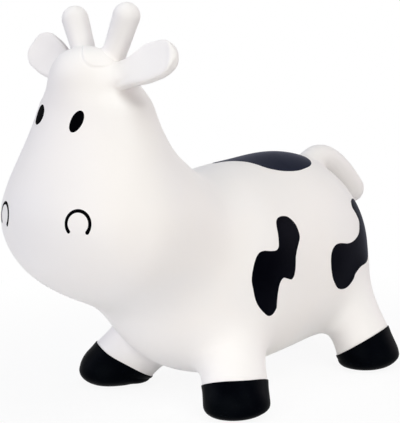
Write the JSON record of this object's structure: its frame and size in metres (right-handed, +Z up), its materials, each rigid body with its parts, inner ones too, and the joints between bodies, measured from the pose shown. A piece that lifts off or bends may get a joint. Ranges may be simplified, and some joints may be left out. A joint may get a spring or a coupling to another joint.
{
  "type": "bouncy ride on animal",
  "caption": "Inflatable cow hopper: one soft air-filled skin with splayed legs, hooves, ears, horns and tail that flex at their roots, painted marks and a belly air valve.",
  "frame": {"origin": "on the ground plane under the middle of the part's overall box", "axes": "+Z up from the soles, the head faces -Y, +X is the animal's left side"},
  "size_m": [0.2998, 0.5717, 0.4839],
  "materials": {
    "white_skin": "satin soft vinyl, slightly warm white",
    "black_paint": "satin blue-black paint on vinyl",
    "valve_plastic": "moulded white polyethylene"
  },
  "bodies": {
    "body": {"torso_skin": "white_skin", "head_skin": "white_skin", "patch_back": "black_paint", "patch_flank_left": "black_paint", "patch_thigh_left": "black_paint", "patch_flank_right": "black_paint", "patch_thigh_right": "black_paint", "eye_left": "black_paint", "eye_right": "black_paint", "nostril_left": "black_paint", "nostril_right": "black_paint", "valve_seat": "valve_plastic"},
    "front_left_leg": {"leg_front_left": "white_skin", "hoof_front_left": "black_paint"},
    "front_right_leg": {"leg_front_right": "white_skin", "hoof_front_right": "black_paint"},
    "rear_left_leg": {"leg_rear_left": "white_skin", "hoof_rear_left": "black_paint"},
    "rear_right_leg": {"leg_rear_right": "white_skin", "hoof_rear_right": "black_paint"},
    "left_ear": {"ear_left": "white_skin"},
    "right_ear": {"ear_right": "white_skin"},
    "left_horn": {"horn_left": "white_skin"},
    "right_horn": {"horn_right": "white_skin"},
    "tail": {"tail": "white_skin"},
    "plug": {"valve_plug": "valve_plastic"}
  },
  "joints": [
    {"name": "front_left_splay", "type": "hinge", "parent": "body", "child": "front_left_leg", "pos_m": [0.06911, -0.04276, 0.06936], "axis": [-0.6719, -0.7406, 0], "range_deg": [-2, 6], "stiffness_Nm_per_rad": 60},
    {"name": "front_right_splay", "type": "hinge", "parent": "body", "child": "front_right_leg", "pos_m": [-0.06911, -0.04276, 0.06936], "axis": [-0.6719, 0.7406, 0], "range_deg": [-2, 6], "stiffness_Nm_per_rad": 60},
    {"name": "rear_left_splay", "type": "hinge", "parent": "body", "child": "rear_left_leg", "pos_m": [0.07052, 0.1845, 0.0711], "axis": [0, -1, 0], "range_deg": [-2, 6], "stiffness_Nm_per_rad": 60},
    {"name": "rear_right_splay", "type": "hinge", "parent": "body", "child": "rear_right_leg", "pos_m": [-0.07052, 0.1845, 0.0711], "axis": [0, 1, 0], "range_deg": [-2, 6], "stiffness_Nm_per_rad": 60},
    {"name": "left_ear_fold", "type": "hinge", "parent": "body", "child": "left_ear", "pos_m": [0.0495, -0.1808, 0.4058], "axis": [0.3827, -0.1383, -0.9135], "range_deg": [-18, 18], "stiffness_Nm_per_rad": 1},
    {"name": "right_ear_fold", "type": "hinge", "parent": "body", "child": "right_ear", "pos_m": [-0.0495, -0.1808, 0.4058], "axis": [0.3827, 0.1383, 0.9135], "range_deg": [-18, 18], "stiffness_Nm_per_rad": 1},
    {"name": "left_horn_bend", "type": "hinge", "parent": "body", "child": "left_horn", "pos_m": [0.0245, -0.1758, 0.4275], "axis": [1, 0, 0], "range_deg": [-12, 12], "stiffness_Nm_per_rad": 1},
    {"name": "right_horn_bend", "type": "hinge", "parent": "body", "child": "right_horn", "pos_m": [-0.0245, -0.1758, 0.4275], "axis": [1, 0, 0], "range_deg": [-12, 12], "stiffness_Nm_per_rad": 1},
    {"name": "tail_lift", "type": "hinge", "parent": "body", "child": "tail", "pos_m": [0, 0.183, 0.257], "axis": [1, 0, 0], "range_deg": [-1.5, 20], "stiffness_Nm_per_rad": 2},
    {"name": "plug_pull", "type": "slide", "parent": "body", "child": "plug", "axis": [0, 0, -1], "range_m": [0, 0.012]}
  ]
}
